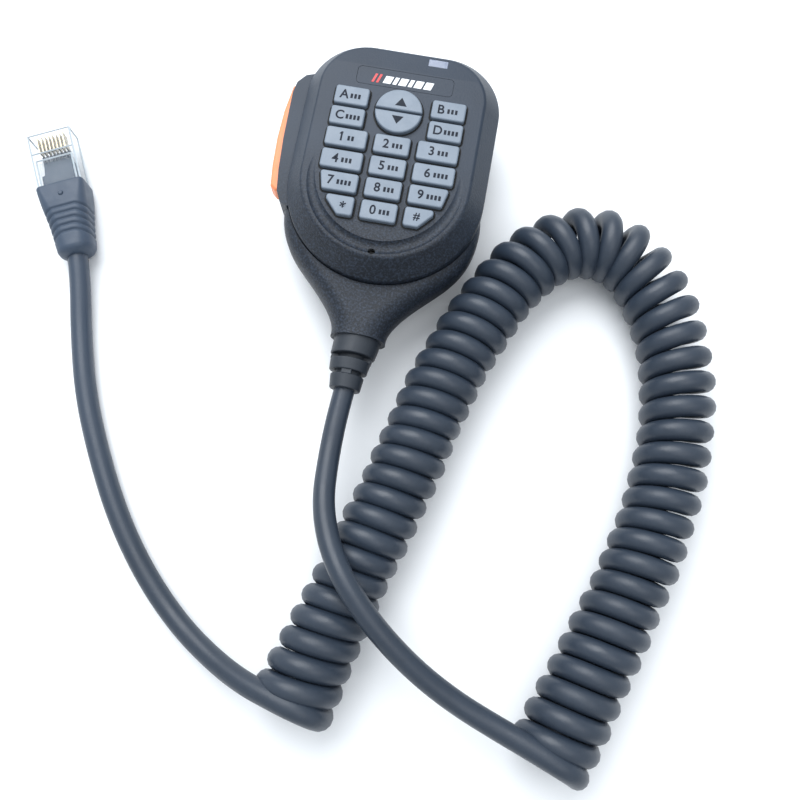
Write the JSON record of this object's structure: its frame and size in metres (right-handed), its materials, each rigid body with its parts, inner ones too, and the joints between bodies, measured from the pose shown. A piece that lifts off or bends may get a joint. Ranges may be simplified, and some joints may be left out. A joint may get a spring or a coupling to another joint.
{
  "type": "hand microphone",
  "caption": "Hand-held radio microphone with a number keypad, a side talk bar, a hanger button, a curly cord and a modular plug.",
  "frame": {"origin": "centre of the hanger button's flat outer face, on the casing's centreline", "axes": "+Z out of the keypad, +Y towards the top of the casing and away from the cord, +X to the right seen from the keypad side"},
  "size_m": [0.1958, 0.1747, 0.0285],
  "materials": {
    "shell": "fine grain moulded",
    "nameplate": "satin",
    "key": "satin",
    "ptt": "satin",
    "lens": "translucent",
    "led": "translucent",
    "silicone": "matt",
    "gold": "plated",
    "board": "solder mask",
    "chip": "matt",
    "screw": "blackened",
    "metal": "turned",
    "plunger": "satin",
    "connector": "moulded",
    "wires": "pvc",
    "cord": "smooth matt jacket",
    "boot": "smooth matt",
    "button": "satin",
    "clear": "clear polycarbonate"
  },
  "bodies": {
    "root": {"front_shell": "shell", "rear_shell": "shell", "nameplate": "nameplate", "led_lens": "lens", "indicator_led": "led", "keypad_mat": "silicone", "contact_pads": "gold", "circuit_board": "board", "board_chips": "chip", "backlight_leds": "led", "board_screws": "screw", "microphone_capsule": "metal", "capsule_sleeve": "silicone", "ptt_bezel": "shell", "ptt_pivot_pin": "metal", "ptt_switch": "chip", "board_connector": "connector", "inner_wires": "wires", "cord_tail": "cord", "cord_clamp": "connector", "case_screws": "screw", "hanger_button": "button", "hanger_washer": "metal", "hanger_screw": "screw", "strain_relief": "boot", "mic_lead": "cord", "curly_coil": "cord", "plug_lead": "cord", "plug_boot": "boot", "plug_housing": "clear", "plug_contacts": "gold", "plug_conductors": "wires"},
    "key_a_cap": {"key_a": "key"},
    "key_b_cap": {"key_b": "key"},
    "key_c_cap": {"key_c": "key"},
    "key_d_cap": {"key_d": "key"},
    "key_1_cap": {"key_1": "key"},
    "key_2_cap": {"key_2": "key"},
    "key_3_cap": {"key_3": "key"},
    "key_4_cap": {"key_4": "key"},
    "key_5_cap": {"key_5": "key"},
    "key_6_cap": {"key_6": "key"},
    "key_7_cap": {"key_7": "key"},
    "key_8_cap": {"key_8": "key"},
    "key_9_cap": {"key_9": "key"},
    "key_star_cap": {"key_star": "key"},
    "key_0_cap": {"key_0": "key"},
    "key_hash_cap": {"key_hash": "key"},
    "key_up_cap": {"key_up": "key"},
    "key_down_cap": {"key_down": "key"},
    "talk_bar": {"ptt_button": "ptt"},
    "switch_plunger": {"ptt_plunger": "plunger"},
    "latch": {"plug_latch": "clear"}
  },
  "joints": [
    {"name": "key_a_press", "type": "slide", "parent": "root", "child": "key_a_cap", "axis": [0, 0, -1], "range_m": [0, 0.001], "stiffness_N_per_m": 600, "springref_m": -0.0006},
    {"name": "key_b_press", "type": "slide", "parent": "root", "child": "key_b_cap", "axis": [0, 0, -1], "range_m": [0, 0.001], "stiffness_N_per_m": 600, "springref_m": -0.0006},
    {"name": "key_c_press", "type": "slide", "parent": "root", "child": "key_c_cap", "axis": [0, 0, -1], "range_m": [0, 0.001], "stiffness_N_per_m": 600, "springref_m": -0.0006},
    {"name": "key_d_press", "type": "slide", "parent": "root", "child": "key_d_cap", "axis": [0, 0, -1], "range_m": [0, 0.001], "stiffness_N_per_m": 600, "springref_m": -0.0006},
    {"name": "key_1_press", "type": "slide", "parent": "root", "child": "key_1_cap", "axis": [0, 0, -1], "range_m": [0, 0.001], "stiffness_N_per_m": 600, "springref_m": -0.0006},
    {"name": "key_2_press", "type": "slide", "parent": "root", "child": "key_2_cap", "axis": [0, 0, -1], "range_m": [0, 0.001], "stiffness_N_per_m": 600, "springref_m": -0.0006},
    {"name": "key_3_press", "type": "slide", "parent": "root", "child": "key_3_cap", "axis": [0, 0, -1], "range_m": [0, 0.001], "stiffness_N_per_m": 600, "springref_m": -0.0006},
    {"name": "key_4_press", "type": "slide", "parent": "root", "child": "key_4_cap", "axis": [0, 0, -1], "range_m": [0, 0.001], "stiffness_N_per_m": 600, "springref_m": -0.0006},
    {"name": "key_5_press", "type": "slide", "parent": "root", "child": "key_5_cap", "axis": [0, 0, -1], "range_m": [0, 0.001], "stiffness_N_per_m": 600, "springref_m": -0.0006},
    {"name": "key_6_press", "type": "slide", "parent": "root", "child": "key_6_cap", "axis": [0, 0, -1], "range_m": [0, 0.001], "stiffness_N_per_m": 600, "springref_m": -0.0006},
    {"name": "key_7_press", "type": "slide", "parent": "root", "child": "key_7_cap", "axis": [0, 0, -1], "range_m": [0, 0.001], "stiffness_N_per_m": 600, "springref_m": -0.0006},
    {"name": "key_8_press", "type": "slide", "parent": "root", "child": "key_8_cap", "axis": [0, 0, -1], "range_m": [0, 0.001], "stiffness_N_per_m": 600, "springref_m": -0.0006},
    {"name": "key_9_press", "type": "slide", "parent": "root", "child": "key_9_cap", "axis": [0, 0, -1], "range_m": [0, 0.001], "stiffness_N_per_m": 600, "springref_m": -0.0006},
    {"name": "key_star_press", "type": "slide", "parent": "root", "child": "key_star_cap", "axis": [0, 0, -1], "range_m": [0, 0.001], "stiffness_N_per_m": 600, "springref_m": -0.0006},
    {"name": "key_0_press", "type": "slide", "parent": "root", "child": "key_0_cap", "axis": [0, 0, -1], "range_m": [0, 0.001], "stiffness_N_per_m": 600, "springref_m": -0.0006},
    {"name": "key_hash_press", "type": "slide", "parent": "root", "child": "key_hash_cap", "axis": [0, 0, -1], "range_m": [0, 0.001], "stiffness_N_per_m": 600, "springref_m": -0.0006},
    {"name": "key_up_press", "type": "slide", "parent": "root", "child": "key_up_cap", "axis": [0, 0, -1], "range_m": [0, 0.001], "stiffness_N_per_m": 600, "springref_m": -0.0006},
    {"name": "key_down_press", "type": "slide", "parent": "root", "child": "key_down_cap", "axis": [0, 0, -1], "range_m": [0, 0.001], "stiffness_N_per_m": 600, "springref_m": -0.0006},
    {"name": "ptt_press", "type": "hinge", "parent": "root", "child": "talk_bar", "pos_m": [-0.028, 0.021, 0.0141], "axis": [0, 0, 1], "range_deg": [0, 3.5], "stiffness_Nm_per_rad": 0.5, "springref_deg": -2.29},
    {"name": "ptt_plunger_slide", "type": "slide", "parent": "root", "child": "switch_plunger", "axis": [1, 0, 0], "range_m": [0, 0.00075]},
    {"name": "latch_flex", "type": "hinge", "parent": "root", "child": "latch", "pos_m": [-0.09653, 0.00019, 0.0017], "axis": [-0.8918, -0.4524, 0], "range_deg": [0, 3.5], "stiffness_Nm_per_rad": 0.3, "springref_deg": -1.72}
  ],
  "couplings": [
    {"joint": "ptt_plunger_slide", "follows": "ptt_press", "m_per_rad": 0.012}
  ]
}
